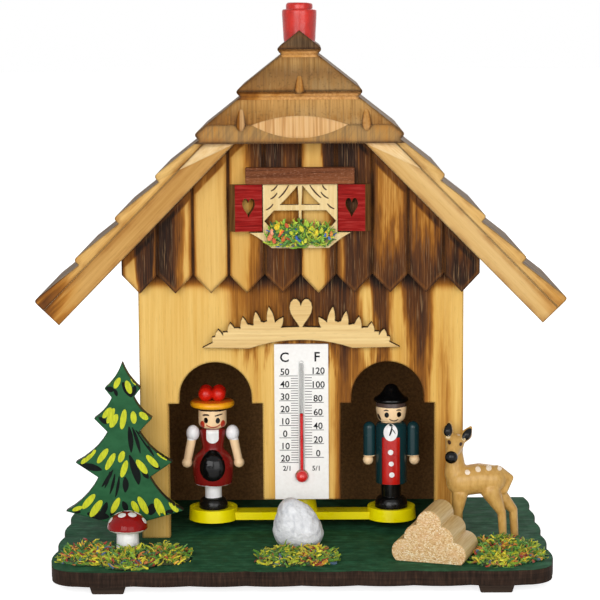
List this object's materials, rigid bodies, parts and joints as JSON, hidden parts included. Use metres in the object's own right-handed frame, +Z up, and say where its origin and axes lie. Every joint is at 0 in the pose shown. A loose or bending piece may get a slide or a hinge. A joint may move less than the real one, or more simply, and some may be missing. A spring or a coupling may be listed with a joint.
{
  "type": "weather house",
  "caption": "Chalet-shaped weather house whose gut cord, hung from a chimney knob, turns a bar with two figures in and out of arched doorways as humidity changes.",
  "frame": {"origin": "on the floor under the middle of the base plate, at the feet's undersides", "axes": "+Z up, -Y the front with the doorways, +X to the right as seen from the front"},
  "size_m": [0.1732, 0.1, 0.1869],
  "materials": {
    "green_plywood": "green-stained plywood, matte, with dark burnt edges",
    "dark_wood": "dark stained wood",
    "scorched_wood": "light lime wood with scorched brown streaks, matte varnish",
    "hardboard": "dark brown hardboard",
    "light_wood": "light wood, satin varnish",
    "weathered_wood": "scorched grey-brown wood, matte",
    "red_plastic": "glossy red",
    "brass": "bare brass",
    "gut": "twisted gut",
    "yellow_plastic": "glossy yellow",
    "woman_paint": "gloss paint on turned wood",
    "skin_paint": "gloss paint on turned wood",
    "orange_paint": "gloss paint on turned wood",
    "red_paint": "red paint on wood",
    "man_paint": "gloss paint on turned wood",
    "black_paint": "gloss black paint on wood",
    "white_card": "white coated card",
    "glass": "clear glass",
    "red_liquid": "dyed spirit",
    "mahogany": "mahogany veneer",
    "moss": "dyed shreds in green, yellow and red",
    "fir_paint": "painted plywood",
    "white_paint": "white gloss paint on wood",
    "quartz": "rough white quartz",
    "pale_wood": "bare pale wood, rough end grain",
    "fawn_paint": "satin paint on carved wood"
  },
  "bodies": {
    "house": {"base_plate": "green_plywood", "feet": "dark_wood", "front_wall": "scorched_wood", "left_wall": "scorched_wood", "right_wall": "scorched_wood", "back_panel": "hardboard", "gable_panel": "scorched_wood", "roof_board_left": "light_wood", "roof_board_right": "light_wood", "shingles_left": "weathered_wood", "shingles_right": "weathered_wood", "hip_block": "weathered_wood", "ridge_beam": "light_wood", "thermometer_card": "white_card", "thermometer_tube": "glass", "thermometer_liquid": "red_liquid", "sign_fretwork": "light_wood", "window_fretwork": "light_wood", "window_lintel": "mahogany", "shutter_left": "red_paint", "shutter_right": "red_paint", "window_flowers": "moss", "fir_tree": "fir_paint", "toadstool_stem": "white_paint", "toadstool_cap": "red_paint", "stone": "quartz", "log_pile": "pale_wood", "fawn": "fawn_paint", "moss_left": "moss", "moss_centre": "moss", "moss_right": "moss"},
    "figure_turntable": {"figure_bar": "yellow_plastic", "cord_ferrule": "brass", "gut_cord": "gut", "woman_body": "woman_paint", "woman_arms": "skin_paint", "woman_hat_brim": "orange_paint", "woman_pompoms": "red_paint", "man_body": "man_paint", "man_arms": "man_paint", "man_hat": "black_paint"},
    "chimney_adjuster": {"chimney_knob": "red_plastic", "spindle": "light_wood", "cord_clamp": "brass"}
  },
  "joints": [
    {"name": "figure_swing", "type": "hinge", "parent": "house", "child": "figure_turntable", "pos_m": [0, 0.007, 0.012], "axis": [0, 0, 1], "range_deg": [-40, 40], "stiffness_Nm_per_rad": 0.0005},
    {"name": "chimney_turn", "type": "hinge", "parent": "house", "child": "chimney_adjuster", "pos_m": [0, 0.007, 0.171], "axis": [0, 0, 1], "continuous": true}
  ]
}
